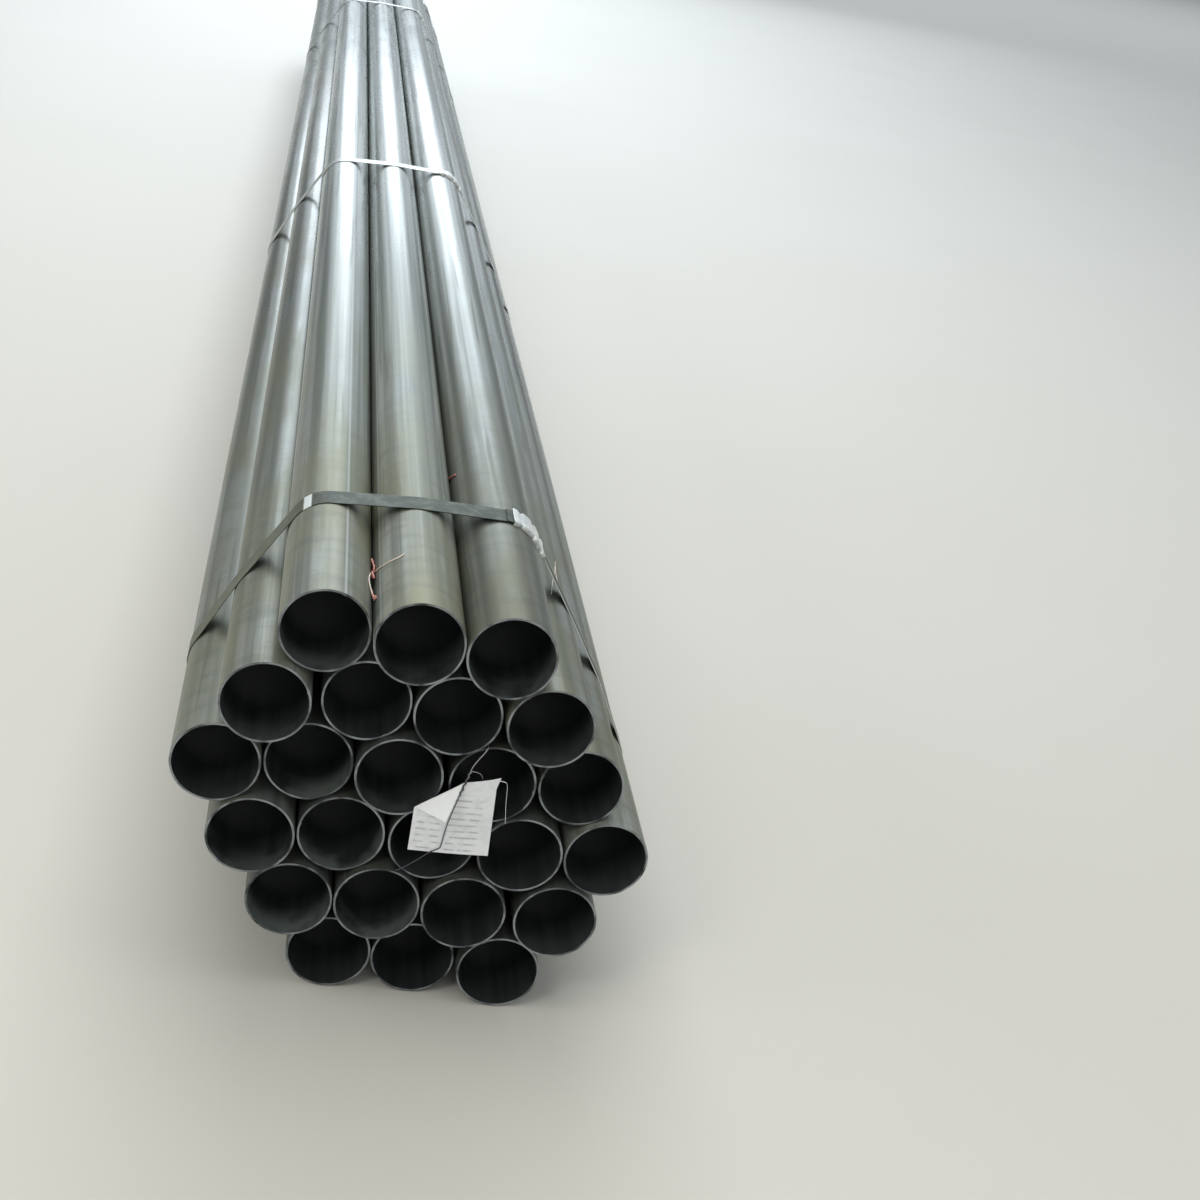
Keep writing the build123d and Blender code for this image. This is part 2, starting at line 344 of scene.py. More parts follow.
def bore_scale_steel(tree, colours):
    """The same steel inside the pipe: dull dry oxide, nearly black round the mouth, with painted light
    that makes it greyer deep inside, and patches of painted light in the mouths of some pipes."""
    place, own = pipe_places(tree)
    mouth_light = add_node(tree, "Attribute", attribute_name="pipe_mouth_light").outputs["Fac"]
    # 9 mm wide streaks, 300 mm long
    drawn = add_node(tree, "Mapping", {"Vector": own, "Scale": (1.0, 0.03, 1.0)})
    streaks = add_node(tree, "TexNoise", {"Vector": drawn, "Scale": 110.0, "Detail": 3.0})
    # 40 mm patches of painted light in the mouth
    patches = add_node(tree, "TexNoise", {"Vector": own, "Scale": 25.0})
    # How deep inside, from the nearer end
    along = add_node(tree, "SeparateXYZ", {"Vector": place}).outputs["Y"]
    past_middle = add_node(tree, "Math", {0: along, 1: PIPE_LENGTH / 2}, operation="SUBTRACT")
    off_middle = add_node(tree, "Math", {0: past_middle}, operation="ABSOLUTE")
    depth = add_node(tree, "Math", {0: PIPE_LENGTH / 2, 1: off_middle}, operation="SUBTRACT")
    colour = lay_colours(
        tree, colours.bore,
        (colours.scale_dark, 0.15, (streaks, 0.3, 0.7)),
        (colours.scale_dark, mouth_light, (patches, 0.38, 0.58), (along, 42 * MM, 16 * MM)),
        # Painted light: greyer from 60 to 220 mm deep
        (colours.scale, 1.0, (depth, 60 * MM, 220 * MM)),
    )
    rough = add_node(tree, "MapRange", {
        "Value": streaks, "From Min": 0.3, "From Max": 0.7, "To Min": 0.42, "To Max": 0.5})
    return {"Base Color": colour, "Metallic": 0.4, "Roughness": rough}


def saw_cut_steel(tree, colours):
    """Bare steel on a cold-sawn pipe end: light grey, stained in places, with fine parallel tooth marks."""
    place = add_node(tree, "TexCoord").outputs["Object"]
    # Tooth marks 1 mm apart
    along_marks = add_node(tree, "Mapping", {"Vector": place, "Scale": (0.15, 1.0, 1.0)})
    marks = add_node(tree, "TexNoise", {"Vector": along_marks, "Scale": 900.0})
    stain = add_node(tree, "TexNoise", {"Vector": place, "Scale": 45.0, "Detail": 3.0})
    colour = lay_colours(tree, colours.cut_steel, (colours.bore, 0.85, (stain, 0.4, 0.64)))
    rough = add_node(tree, "MapRange", {
        "Value": marks, "From Min": 0.3, "From Max": 0.7, "To Min": 0.32, "To Max": 0.5})
    bump = add_node(tree, "Bump", {"Strength": 0.3, "Distance": 0.1 * MM, "Height": marks})
    return {"Base Color": colour, "Metallic": 1.0, "Roughness": rough, "Normal": bump}


# Where the first strap turns onto the top of the bundle, left of the middle of the top left pipe, and gets
# a painted glint
GLINT_AT_TURN = PIPES["pipe_1a"].x - 26.5 * MM


def strapping_steel(tree, colours):
    """Oxidised strapping: dark grey-green satin, with rubbed patches and lengthwise scuffs. Painted
    highlights light its edges on the right, near the seals, and the straps beyond the first."""
    place = add_node(tree, "Attribute", attribute_name="strap_place").outputs["Vector"]
    # Scuffs 2 mm wide and 16 mm long, and 18 mm patches
    drawn = add_node(tree, "Mapping", {"Vector": place, "Scale": (0.12, 1.0, 1.0)})
    scuffs = add_node(tree, "TexNoise", {"Vector": drawn, "Scale": 500.0, "Detail": 3.0})
    patches = add_node(tree, "TexNoise", {"Vector": place, "Scale": 55.0, "Detail": 4.0, "Roughness": 0.65})
    across = add_node(tree, "SeparateXYZ", {"Vector": place}).outputs["Y"]
    off_middle = add_node(tree, "Math", {0: across}, operation="ABSOLUTE")
    parts = add_node(tree, "SeparateXYZ", {"Vector": add_node(tree, "TexCoord").outputs["Object"]}).outputs
    right, behind = parts["X"], parts["Y"]
    past_glint = add_node(tree, "Math", {0: right, 1: GLINT_AT_TURN}, operation="SUBTRACT")
    off_glint = add_node(tree, "Math", {0: past_glint}, operation="ABSOLUTE")
    colour = lay_colours(
        tree, colours.strap,
        (colours.strap_worn, 0.5, (patches, 0.45, 0.65)),
        (colours.strap_worn, 0.3, (scuffs, 0.6, 0.8)),
        # Painted highlights: the edges on the right, and all of the straps beyond the first
        (colours.zinc, 0.9, (right, 0.1, 0.12), (off_middle, 13.2 * MM, 15.0 * MM)),
        (colours.zinc, 0.45, (behind, -2.5, -1.5)),
        # Painted reflection: an olive tint on the left slope
        (colours.oil, 0.4, (right, -0.12, -0.16)),
        # Painted glint where the first strap turns onto the top
        (colours.zinc, 0.9, (behind, -2.5, -2.6), (off_glint, 4.4 * MM, 3.2 * MM)),
    )
    least = add_node(tree, "MapRange", {
        "Value": behind, "From Min": -2.5, "From Max": -1.5, "To Min": 0.5, "To Max": 0.26})
    rough = add_node(tree, "MapRange", {
        "Value": scuffs, "From Min": 0.3, "From Max": 0.8, "To Min": least, "To Max": 0.58})
    bump = add_node(tree, "Bump", {"Strength": 0.25, "Distance": 0.3 * MM, "Height": patches})
    return {"Base Color": colour, "Metallic": 0.6, "Roughness": rough, "Normal": bump}


def zinc_coated_steel(tree, colours):
    """Zinc-coated seal sheet: bright, with soft 4 mm spangle and grey rub marks."""
    place = add_node(tree, "TexCoord").outputs["Object"]
    spangle = add_node(tree, "TexVoronoi", {"Vector": place, "Scale": 260.0})
    rubbed = add_node(tree, "TexNoise", {"Vector": place, "Scale": 180.0, "Detail": 4.0, "Roughness": 0.6})
    colour = lay_colours(
        tree, colours.zinc,
        (colours.scale_dark, 0.35, (spangle, 0.0, 1.0)),
        (colours.strap_worn, 0.45, (rubbed, 0.55, 0.72)),
    )
    rough = add_node(tree, "MapRange", {
        "Value": rubbed, "From Min": 0.3, "From Max": 0.7, "To Min": 0.28, "To Max": 0.42})
    bump = add_node(tree, "Bump", {"Strength": 0.3, "Distance": 0.3 * MM, "Height": rubbed})
    return {"Base Color": colour, "Metallic": 0.35, "Roughness": rough, "Normal": bump}


def annealed_wire_steel(tree, colours):
    """Annealed tie wire: dull blue-black scale, rubbed grey in places, with a painted highlight that
    makes it lighter above the label."""
    place = add_node(tree, "TexCoord").outputs["Object"]
    rubbed = add_node(tree, "TexNoise", {"Vector": place, "Scale": 350.0, "Detail": 3.0})
    height = add_node(tree, "SeparateXYZ", {"Vector": place}).outputs["Z"]
    label_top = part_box("label")[1].z
    colour = lay_colours(
        tree, colours.wire,
        (colours.strap_worn, 0.6, (rubbed, 0.5, 0.75)),
        # Painted highlight: lighter above the label
        (colours.zinc, 0.4, (height, label_top - 4 * MM, label_top + 8 * MM)),
    )
    return {"Base Color": colour, "Metallic": 0.8, "Roughness": 0.47}


def coated_tag_paper(tree, colours):
    """Thin coated tag paper, a little grey from handling, with rows of faded print on its front."""
    parts = add_node(tree, "SeparateXYZ", {"Vector": add_node(tree, "UVMap", uv_map="paper")}).outputs
    right, up = parts["X"], parts["Y"]
    front = add_node(tree, "Attribute", attribute_name="paper_side").outputs["Fac"]
    place = add_node(tree, "TexCoord").outputs["Object"]
    # 9 mm smudges
    mottle = add_node(tree, "TexNoise", {"Vector": place, "Scale": 110.0, "Detail": 4.0})

    # Each row of print is a soft bar broken into words, and shows in two columns
    rows = add_node(tree, "Math", {0: up, 1: PRINT_ROW}, operation="DIVIDE")
    in_row = add_node(tree, "Math", {0: rows}, operation="FRACT")
    row = add_node(tree, "Math", {0: rows}, operation="FLOOR")
    shift = add_node(tree, "Math", {0: row, 1: 7.3}, operation="MULTIPLY")
    reach = add_node(tree, "Math", {0: right, 1: 95.0}, operation="MULTIPLY")
    word_place = add_node(tree, "CombineXYZ", {"X": reach, "Y": shift})
    words = add_node(tree, "TexNoise", {"Vector": word_place, "Scale": 1.0, "Detail": 1.0})
    # Masks: a pattern, its value outside the print and its value inside
    bar = [(in_row, 0.38, 0.56), (in_row, 0.8, 0.6), (words, 0.36, 0.56)]
    ink = 0.0
    for start, stop, top in PRINT_COLUMNS:
        share = 0.5
        column = [(right, start - 2 * MM, start), (right, stop + 6 * MM, stop), (up, top + 2 * MM, top)]
        for pattern, outside, inside in bar + column:
            share = add_node(tree, "MapRange", {
                "Value": pattern, "From Min": outside, "From Max": inside, "To Max": share})
        ink = add_node(tree, "Math", {0: ink, 1: share}, operation="ADD")

    printed = lay_colours(
        tree, colours.paper,
        (colours.print_ink, 0.18, (mottle, 0.45, 0.75)),
        (colours.print_ink, ink),
    )
    colour = lay_colours(tree, colours.paper_back, (printed, front))
    bump = add_node(tree, "Bump", {"Strength": 0.2, "Distance": 0.2 * MM, "Height": mottle})
    return {"Base Color": colour, "Roughness": 0.55, "Normal": bump}


def twine_plastic(tree, colours, least=0.0, most=0.35):
    """Split polypropylene twine: thin, slightly shiny and faded in places."""
    place = add_node(tree, "TexCoord").outputs["Object"]
    # 5 mm long faded stretches
    faded = add_node(tree, "TexNoise", {"Vector": place, "Scale": 190.0})
    share = add_node(tree, "MapRange", {
        "Value": faded, "From Min": 0.35, "From Max": 0.65, "To Min": least, "To Max": most})
    colour = lay_colours(tree, colours.twine, (colours.twine_frayed, share))
    return {"Base Color": colour, "Roughness": 0.4}


def twine_plastic_frayed(tree, colours):
    """The same twine where it is frayed and bleached pale."""
    return twine_plastic(tree, colours, least=0.85, most=1.0)


def studio_floor(tree, colours):
    """Seamless painted floor: pale, matt and barely mottled."""
    place = add_node(tree, "TexCoord").outputs["Object"]
    mottle = add_node(tree, "TexNoise", {"Vector": place, "Scale": 1.3, "Detail": 3.0})
    colour = lay_colours(tree, colours.floor, (colours.paper, 0.05, (mottle, 0.3, 0.7)))
    return {"Base Color": colour, "Roughness": 0.7}



# Pipes

PIPE_SIDES = 120
# Which of a pipe's finishes its faces have, where it isn't the first
BORE_FINISH, END_FINISH = 1, 2
# Tells each pipe's pattern from the next one's
SEED_STEP = 9.1

# Below, a pipe goes by its row and letter, as in its node's name.
# Where the weld lines lie, in degrees from the top towards the right. The others follow in steps
WELD_ANGLES = {
    "1a": 20, "1b": -64, "1c": 55, "2a": 70, "2d": -40, "3a": 40, "3e": -75, "2b": 150, "2c": 200,
    "3b": 110, "3c": -160, "3d": 95, "4a": 130,
}
WELD_STEP = 77.0
# How much painted light lies in patches in the mouth of a bore
BORE_MOUTH_LIGHT = {
    "1a": 0.55, "1b": 0.35, "1c": 0.6, "2a": 0.3, "2b": 0.1, "2d": 0.3, "3a": 0.1, "3b": 1.0, "3c": 0.35,
    "3e": 0.15, "4a": 0.5, "4b": 0.9, "4c": 0.2, "4e": 0.15, "5a": 1.0, "5b": 0.8, "5c": 0.1, "5d": 0.15,
}
# Pipes inside and under the bundle, which get painted shade
SHADED_PIPES = ("2b", "2c", "3b", "3c", "3d", "4b", "4c", "4d", "5a", "5b", "5c", "5d", "6a", "6b", "6c")
# How much painted shade a pipe's skin gets near its near end and beyond, and how much of it beyond is
# olive:
# oil tint, which on the side pipes is partly a painted reflection of a brown floor
PLAIN_SHADE_AND_OIL = (0.0, 0.0, 0.12)
PIPE_SHADE_AND_OIL = {
    "1a": (0.04, 0.04, 0.12), "1b": (0.02, 0.0, 0.12), "1c": (0.4, 0.1, 0.12), "2a": (0.14, 0.45, 0.9),
    "2d": (0.1, 0.3, 0.3), "3a": (0.18, 0.45, 0.9), "3e": (0.2, 0.4, 0.3), "4a": (0.45, 0.4, 0.5),
    **dict.fromkeys(SHADED_PIPES, (0.75, 0.75, 0.12)),
}


def is_end(face):
    return abs(face.normal.y) > 0.9


def is_rim(edge):
    """Whether an edge runs round the pipe at one of its ends, and not across the wall."""
    start, end = (vert.co for vert in edge.verts)
    return abs(start.y - end.y) < MM and abs(start.xz.length - end.xz.length) < 0.1 * MM


def model_pipe(sizes):
    """One pipe about the Y axis, its near end at the origin and its weld on top."""
    deselect_all()
    bpy.ops.mesh.primitive_cylinder_add(
        vertices=PIPE_SIDES, radius=PIPE_RADIUS, depth=PIPE_LENGTH,
        location=(0, PIPE_LENGTH / 2, 0), rotation=(-pi / 2, 0, 0),
    )
    pipe = start_piece("pipe_pattern")
    shape = edit(pipe)
    pick(pipe, shape.faces, is_end)
    bpy.ops.mesh.inset(thickness=sizes.pipe_wall, use_individual=True)
    bpy.ops.mesh.bridge_edge_loops()
    close_edit()

    middle = PIPE_RADIUS - sizes.pipe_wall / 2
    shape = edit(pipe, "EDGE")
    pick(pipe, shape.edges, is_rim)
    bpy.ops.mesh.bevel(offset=sizes.rim_round, segments=2, affect="EDGES")
    close_edit()

    shape = edit(pipe, "VERT")
    pick(pipe, shape.verts, lambda vert: abs(vert.co.x) < 0.5 * MM and 0 < vert.co.z < middle)
    bpy.ops.transform.translate(value=(0, 0, -sizes.bead_height))
    close_edit()
    face_outwards(pipe)
    smooth(pipe, 40)

    for face in pipe.data.polygons:
        if is_end(face):
            face.material_index = END_FINISH
        elif face.center.xz.length < middle:
            face.material_index = BORE_FINISH
    return pipe


def add_pipes(sizes, colours):
    pattern = model_pipe(sizes)
    finishes = [new_material(finish, colours)
                for finish in (mill_scale_steel, bore_scale_steel, saw_cut_steel)]
    places = [vertex.co.copy() for vertex in pattern.data.vertices]
    for number, (node, at) in enumerate(PIPES.items()):
        spot = node.removeprefix("pipe_")
        mesh = pattern.data.copy()
        pipe = bpy.data.objects.new(f"{node}_steel", mesh)
        bpy.context.collection.objects.link(pipe)
        note_points(pipe, "pipe_place", places)
        note_value(pipe, "pipe_seed", SEED_STEP * number)
        note_value(pipe, "pipe_mouth_light", BORE_MOUTH_LIGHT.get(spot, 0.0))
        note_points(pipe, "pipe_shade_and_oil", [PIPE_SHADE_AND_OIL.get(spot, PLAIN_SHADE_AND_OIL)] * len(places))
        weld = WELD_ANGLES.get(spot, number * WELD_STEP)
        mesh.transform(Matrix.Translation((at.x, at.near, at.z)) @ Matrix.Rotation(radians(weld), 4, "Y"))
        for finish in finishes:
            mesh.materials.append(finish)
        finish_piece(pipe, "pipe_steel", node)
    bpy.data.objects.remove(pattern)


# Paths of the straps, in the plane across the bundle, followed anticlockwise from the near end

def polar(centre, radius, angle):
    return (centre[0] + radius * cos(radians(angle)), centre[1] + radius * sin(radians(angle)))


class Run(namedtuple("Run", "start normal length")):
    """Straight stretch: its start, the angle of its outward normal and its length."""

    def frame(self, distance):
        return polar(self.start, distance, self.normal + 90), self.normal


class Bend(namedtuple("Bend", "centre radius angle turn")):
    """Arc round a pipe: its centre, radius, first angle and turn."""

    @property
    def length(self):
        return self.radius * radians(self.turn)

    def frame(self, distance):
        angle = self.angle + degrees(distance / self.radius)
        return polar(self.centre, self.radius, angle), angle


def frame_at(path, distance):
    """The point at a distance along a path, and the angle of the outward normal there."""
    for piece in path[:-1]:
        if distance <= piece.length:
            return piece.frame(distance)
        distance -= piece.length
    return path[-1].frame(distance)


def outer_ring(centres):
    """The centres that the straps go round, anticlockwise from the lowest left one."""
    def turns_left(a, b, c):
        return (b[0] - a[0]) * (c[1] - a[1]) - (b[1] - a[1]) * (c[0] - a[0]) > MM * MM

    def half(points):
        chain = []
        for point in points:
            while len(chain) > 1 and not turns_left(chain[-2], chain[-1], point):
                chain.pop()
            chain.append(point)
        return chain[:-1]

    points = sorted(centres)
    return half(points) + half(points[::-1])


def run_between(first, second):
    """Taut run from one (centre, radius) to the next."""
    (start, start_radius), (end, end_radius) = first, second
    heading = degrees(atan2(end[1] - start[1], end[0] - start[0]))
    normal = heading - degrees(acos((start_radius - end_radius) / dist(start, end)))
    low = polar(start, start_radius, normal)
    return Run(low, normal, dist(low, polar(end, end_radius, normal)))


def strap_lap(sizes, seal_node):
    """Inner face of one strap, from its inner end once round the bundle to its outer end."""
    wrap = PIPE_RADIUS + SEAT_GAP
    inner_radius = wrap + sizes.seal_thickness + SEAL_CLEARANCE
    outer_radius = inner_radius + sizes.strap_thickness + LAYER_GAP
    ring = outer_ring([(pipe.x, pipe.z) for pipe in PIPES.values()])
    seal_centre = (PIPES[SEAL_PIPE].x, PIPES[SEAL_PIPE].z)
    turn = ring.index(seal_centre)
    ring = ring[turn:] + ring[:turn]
    stops = [(seal_centre, inner_radius)] + [(centre, wrap) for centre in ring[1:]]
    stops += [(seal_centre, outer_radius)]
    runs = [run_between(first, second) for first, second in zip(stops, stops[1:])]

    normal = runs[-1].normal
    leaving = polar(seal_centre, inner_radius, normal)
    seal_bottom = polar((0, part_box(seal_node)[0].z), sizes.seal_thickness + SEAL_CLEARANCE, normal)[1]
    tail = (leaving[1] - seal_bottom) / cos(radians(normal)) + INNER_END_OUT
    path = [Run(polar(leaving, -tail, normal + 90), normal, tail)]
    for (centre, radius), run in zip(stops, runs):
        path.append(Bend(centre, radius, normal, (run.normal - normal) % 360))
        path.append(run)
        normal = run.normal
    once_round = sum(piece.length for piece in path)
    lap_end = INNER_END_OUT + sizes.seal_length + OUTER_END_OUT
    path.append(Bend(seal_centre, outer_radius, normal, degrees((lap_end - tail) / outer_radius)))
    return path, once_round + path[-1].length


def notch_at(sizes, distance):
    """How far the crimps bite in from each edge at a distance along the lap."""
    step = sizes.seal_length / NOTCH_PAIRS
    nearest = min(abs(distance - INNER_END_OUT - (index + 0.5) * step) for index in range(NOTCH_PAIRS))
    if nearest >= sizes.notch_radius:
        return 0.0
    return sizes.notch_depth * (1 + cos(pi * nearest / sizes.notch_radius)) / 2


def lay_on_path(piece, path, place, start=0.0):
    """Wraps a flat band round the bundle: its X becomes the way along the path and its Z the height."""
    for vertex in piece.data.vertices:
        flat = vertex.co.copy()
        (x, z), normal = frame_at(path, start + flat.x)
        across, up = polar((x, z), flat.z, normal)
        vertex.co = (across, place + flat.y, up)


# Straps

STRAP_STEP = 4 * MM
# Edges sharper than this are bevelled
SHARP_EDGE = radians(50)


def add_straps(sizes, colours):
    finish = new_material(strapping_steel, colours)
    for node in STRAPS:
        low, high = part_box(node)
        path, length = strap_lap(sizes, node.replace("strap", "seal"))
        deselect_all()
        bpy.ops.mesh.primitive_grid_add(
            x_subdivisions=ceil(length / STRAP_STEP), y_subdivisions=2, size=1,
            location=(length / 2, 0, 0),
        )
        bpy.context.active_object.scale = (length, sizes.strap_width, 1)
        strap = start_piece(f"{node}_steel")
        for vertex in strap.data.vertices:
            for lap_start in (0.0, length - OUTER_END_OUT - sizes.seal_length - INNER_END_OUT):
                bite = notch_at(sizes, vertex.co.x - lap_start)
                vertex.co.y *= 1 - 2 * bite / sizes.strap_width
        apply_modifier(strap, "SOLIDIFY", thickness=sizes.strap_thickness, offset=1.0)
        apply_modifier(
            strap, "BEVEL", width=0.18 * MM, segments=1, limit_method="ANGLE", angle_limit=SHARP_EDGE)
        note_points(strap, "strap_place", [vertex.co.copy() for vertex in strap.data.vertices])
        lay_on_path(strap, path, (low.y + high.y) / 2)
        face_outwards(strap)
        smooth(strap, 30)
        strap.data.materials.append(finish)
        finish_piece(strap, "strap_steel", node)


# Seals

SEAL_STATIONS = 52
SEAL_SWELL = 1.1 * MM
# How far inside its edges a seal gets a row of points, to bend at the crimps
SEAL_EDGE = 3 * MM


def add_seals(sizes, colours):
    finish = new_material(zinc_coated_steel, colours)
    inner_height = 2 * sizes.strap_thickness + LAYER_GAP + 2 * SEAL_CLEARANCE
    inner_width = sizes.strap_width + 2 * SEAL_CLEARANCE
    slit = inner_width + 2 * sizes.seal_thickness - 2 * sizes.seal_lip
    for node in STRAPS:
        low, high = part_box(node)
        seal_node = node.replace("strap", "seal")
        path, length = strap_lap(sizes, seal_node)
        deselect_all()
        bpy.ops.mesh.primitive_cube_add(
            size=1, location=(sizes.seal_length / 2, 0, inner_height / 2 - SEAL_CLEARANCE),
            scale=(sizes.seal_length, inner_width, inner_height),
        )
        seal = start_piece(f"{seal_node}_zinc")
        shape = edit(seal)
        pick(seal, shape.faces, lambda face: abs(face.normal.x) > 0.9)
        bpy.ops.mesh.delete(type="FACE")
        for station in range(1, SEAL_STATIONS):
            bpy.ops.mesh.select_all(action="SELECT")
            cut = station * sizes.seal_length / SEAL_STATIONS
            bpy.ops.mesh.bisect(plane_co=(cut, 0, 0), plane_no=(1, 0, 0))
        for y in (SEAL_EDGE - inner_width / 2, -slit / 2, slit / 2, inner_width / 2 - SEAL_EDGE):
            bpy.ops.mesh.select_all(action="SELECT")
            bpy.ops.mesh.bisect(plane_co=(0, y, 0), plane_no=(0, 1, 0))
        bpy.ops.mesh.select_all(action="DESELECT")
        shape = bmesh.from_edit_mesh(seal.data)
        pick(seal, shape.faces,
             lambda face: face.normal.z < -0.9 and abs(face.calc_center_median().y) < slit / 2)
        bpy.ops.mesh.delete(type="FACE")
        close_edit()
        crimp(seal, sizes, inner_width)
        apply_modifier(
            seal, "SOLIDIFY", thickness=sizes.seal_thickness, offset=1.0, use_even_offset=True)
        apply_modifier(
            seal, "BEVEL", width=0.2 * MM, segments=2, limit_method="ANGLE", angle_limit=SHARP_EDGE)
        lay_on_path(seal, path, (low.y + high.y) / 2, INNER_END_OUT)
        face_outwards(seal)
        smooth(seal, 40)
        seal.data.materials.append(finish)
        finish_piece(seal, "seal_steel", seal_node)


def crimp(seal, sizes, inner_width):
    """Draws in both edges at each crimp, and lets them swell between the crimps."""
    for vertex in seal.data.vertices:
        bite = notch_at(sizes, vertex.co.x + INNER_END_OUT) / sizes.notch_depth
        edge = abs(vertex.co.y) / (inner_width / 2)
        swell = SEAL_SWELL * (1 - bite)
        vertex.co.y *= 1 + edge * (swell - bite * sizes.notch_depth) / (inner_width / 2)
        if vertex.co.z > 0:
            vertex.co.z += swell * edge ** 2


# Label. Its points are given to the right of and above its lower left corner, and out towards the viewer

LABEL_WIDTH = 82 * MM
LABEL_HEIGHT = 92 * MM
FOLD_LOW = Vector((0, 50 * MM))
FOLD_HIGH = Vector((46 * MM, 86 * MM))
FOLD_ROUND = 1.1 * MM
FOLD_TURN = 122.0
LABEL_GRID = 2 * MM
PRINT_ROW = 7.5 * MM
PRINT_COLUMNS = ((5 * MM, 26 * MM, 46 * MM), (37 * MM, 66 * MM, 70 * MM))
TORN_DEPTH = 3.8 * MM
TORN_START = 0.14
LABEL_OFF_PIPES = 0.35 * MM
# How the sheet bows and ripples, and from which width and share of its height it curls back
LABEL_BOW = 3.2 * MM
LABEL_RIPPLE = 0.5 * MM
LABEL_LIFT = 0.3 * MM
CURL_RIGHT = 62 * MM
CURL_UP = 0.42
CURL_STEEPNESS = 9.0


def label_point(right, up, out):
    """The place in the bundle of a point of the label."""
    low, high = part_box("label")
    return Vector((low.x + right, high.y - LABEL_OFF_PIPES - out, low.z + up))


def cut_paper(label, left_part, start, stop, clear):
    """Cuts the part left or right of the fold's end along a line, and drops what is above it."""
    shape = edit(label)
    pick(label, shape.faces, lambda face: (face.calc_center_median().x < FOLD_HIGH.x) == left_part)
    way = (stop - start).normalized()
    bpy.ops.mesh.bisect(plane_co=(start.x, start.y, 0), plane_no=(-way.y, way.x, 0), clear_outer=clear)
    close_edit()


def shape_paper(flat):
    """Where a point of the flat paper comes to lie: its right edge torn and curled, its corner folded."""
    up = flat.y / LABEL_HEIGHT
    torn = TORN_DEPTH * (flat.x / LABEL_WIDTH) ** 2 * up * min(1.0, (1.0 - up) / TORN_START)
    right, up = flat.x - torn, flat.y
    bow = LABEL_BOW * sin(pi * min(right / LABEL_WIDTH, 1.0)) * (0.35 + 0.65 * up / LABEL_HEIGHT)
    ripple = LABEL_RIPPLE * sin(up / (13 * MM)) * sin(right / (17 * MM) + 1.0)
    curl = max(right - CURL_RIGHT, 0.0) ** 2 * CURL_STEEPNESS * max(up / LABEL_HEIGHT - CURL_UP, 0.0)
    out = max(bow + ripple, 0.0) + LABEL_LIFT - curl
    way = (FOLD_HIGH - FOLD_LOW).normalized()
    off = Vector((right, up)) - FOLD_LOW
    past = off.dot(Vector((-way.y, way.x)))
    if past <= 0.0 or right > FOLD_HIGH.x + LABEL_GRID:
        return right, up, out
    turn = min(past / FOLD_ROUND, radians(FOLD_TURN))
    rest = past - turn * FOLD_ROUND
    across = FOLD_ROUND * sin(turn) + rest * cos(turn)
    rise = FOLD_ROUND * (1 - cos(turn)) + rest * sin(turn)
    foot = FOLD_LOW + way * off.dot(way) + Vector((-way.y, way.x)) * across
    return foot.x, foot.y, out + rise


def add_label(sizes, colours):
    deselect_all()
    bpy.ops.mesh.primitive_grid_add(
        x_subdivisions=round(LABEL_WIDTH / LABEL_GRID), y_subdivisions=round(LABEL_HEIGHT / LABEL_GRID),
        size=1, location=(LABEL_WIDTH / 2, LABEL_HEIGHT / 2, 0),
    )
    bpy.context.active_object.scale = (LABEL_WIDTH, LABEL_HEIGHT, 1)
    label = start_piece("label_paper")
    top_left, top_right = Vector((0, LABEL_HEIGHT)), Vector((LABEL_WIDTH, LABEL_HEIGHT))
    cut_paper(label, True, FOLD_LOW, FOLD_HIGH, False)
    cut_paper(label, True, top_left, FOLD_HIGH, True)
    cut_paper(label, False, FOLD_HIGH, top_right, True)
    apply_modifier(label, "SUBSURF", subdivision_type="SIMPLE", levels=1, render_levels=1)
    uv = label.data.uv_layers.new(name="paper")
    for loop in label.data.loops:
        uv.data[loop.index].uv = label.data.vertices[loop.vertex_index].co.xy
    for vertex in label.data.vertices:
        vertex.co = label_point(*shape_paper(vertex.co.xy))
    face_outwards(label)
    sheet_faces = len(label.data.polygons)
    sheet_faces_viewer = label.data.polygons[0].normal.y < 0
    apply_modifier(label, "SOLIDIFY", thickness=sizes.paper_thickness, offset=0.0)
    side = label.data.attributes.new("paper_side", "FLOAT", "FACE")
    for face in label.data.polygons:
        side.data[face.index].value = float((face.index < sheet_faces) == sheet_faces_viewer)
    smooth(label, 50)
    paper = new_material(coated_tag_paper, colours)
    label.data.materials.append(paper)
    finish_piece(label, "label_paper", "label")
    add_torn_strip(sizes, paper)


STRIP_WIDTH = 1.1 * MM
STRIP_POINTS = (
    (80, 91, 2.5), (84, 91.5, 3.5), (87, 89.5, 3), (88.5, 84, 1), (89.5, 75, -1), (90.5, 62, -2),
    (91.5, 54, -1.5), (92.5, 46, 0.2), (93, 41, 0.6),
)


def add_torn_strip(sizes, paper):
    """The narrow strip of the label's edge that came loose and hangs down beside it."""
    line = smooth_line([label_point(*[value * MM for value in point]) for point in STRIP_POINTS], 6)
    deselect_all()
    bpy.ops.mesh.primitive_plane_add(size=STRIP_WIDTH, location=line[0])
    strip = start_piece("label_torn_strip")
    shape = edit(strip, "VERT")
    pick(strip, shape.verts, lambda vert: vert.co.x < line[0].x)
    bpy.ops.mesh.delete(type="VERT")
    bpy.ops.mesh.select_all(action="SELECT")
    for before, here in zip(line, line[1:]):
        bpy.ops.mesh.extrude_edges_move(TRANSFORM_OT_translate={"value": here - before})
    close_edit()
    apply_modifier(strip, "SOLIDIFY", thickness=sizes.paper_thickness * 2, offset=0.0)
    strip.data.uv_layers.new(name="paper")
    smooth(strip, 50)
    strip.data.materials.append(paper)
    finish_piece(strip, "label_paper")


# Wire and twine

